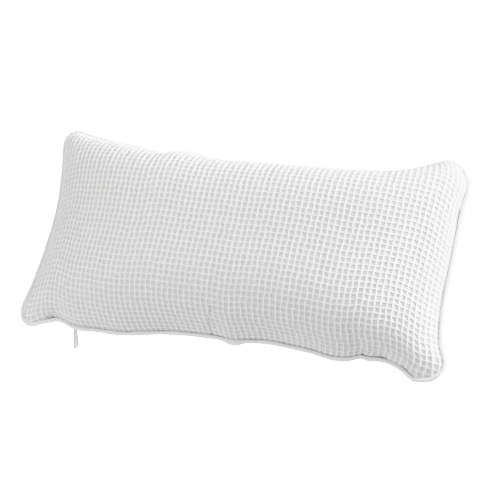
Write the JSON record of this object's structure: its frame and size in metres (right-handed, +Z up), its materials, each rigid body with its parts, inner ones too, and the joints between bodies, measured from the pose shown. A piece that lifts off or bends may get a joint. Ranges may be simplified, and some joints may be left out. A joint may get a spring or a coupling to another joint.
{
  "type": "bath pillow",
  "caption": "Rectangular bath pillow in waffle-weave cloth with piped seam, removable filled inner cushion, zip along the bottom edge and suction cups on the back.",
  "frame": {"origin": "centre of the four suction cups, in the plane of their rims, on the bath's wall", "axes": "+X along the pillow's width, +Y back towards the bath's sloping end, +Z up; the pillow leans back 36.7 degrees from upright"},
  "size_m": [0.4074, 0.1375, 0.1877],
  "materials": {
    "waffle_cloth": "cotton waffle weave, matt",
    "piping_cloth": "bias-cut strip of the same cloth, matt",
    "cord": "twisted filler cord",
    "liner_cloth": "thin non-woven cloth",
    "fibre": "polyester fibre filling",
    "zip_tape": "narrow woven tape",
    "zip_teeth": "moulded plastic",
    "zip_metal": "light grey enamel on die-cast metal",
    "zip_stops": "light grey enamel",
    "cup_rubber": "clear soft vinyl",
    "eyelet_metal": "nickel-plated"
  },
  "bodies": {
    "pillow": {"front_panel": "waffle_cloth", "back_panel": "waffle_cloth", "piping_cover": "piping_cloth", "piping_cord": "cord", "liner_front": "liner_cloth", "liner_back": "liner_cloth", "fibre_fill": "fibre", "zip_tape_front": "zip_tape", "zip_tape_back": "zip_tape", "zip_teeth_front": "zip_teeth", "zip_teeth_back": "zip_teeth", "zip_top_stop_front": "zip_stops", "zip_top_stop_back": "zip_stops", "zip_bottom_stop": "zip_stops", "suction_cup_1": "cup_rubber", "eyelet_1": "eyelet_metal", "eyelet_washer_1": "eyelet_metal", "suction_cup_2": "cup_rubber", "eyelet_2": "eyelet_metal", "eyelet_washer_2": "eyelet_metal", "suction_cup_3": "cup_rubber", "eyelet_3": "eyelet_metal", "eyelet_washer_3": "eyelet_metal", "suction_cup_4": "cup_rubber", "eyelet_4": "eyelet_metal", "eyelet_washer_4": "eyelet_metal"},
    "slider": {"zip_slider": "zip_metal"},
    "pull": {"zip_pull": "zip_metal"}
  },
  "joints": [
    {"name": "zip_slide", "type": "slide", "parent": "pillow", "child": "slider", "axis": [1, 0, 0], "range_m": [0, 0.2855], "deforming": ["zip_teeth_front", "zip_teeth_back"]},
    {"name": "pull_flip", "type": "hinge", "parent": "slider", "child": "pull", "pos_m": [-0.1515, -0.08288, -0.04093], "axis": [0, 1, 0], "range_deg": [-80, 60]}
  ]
}
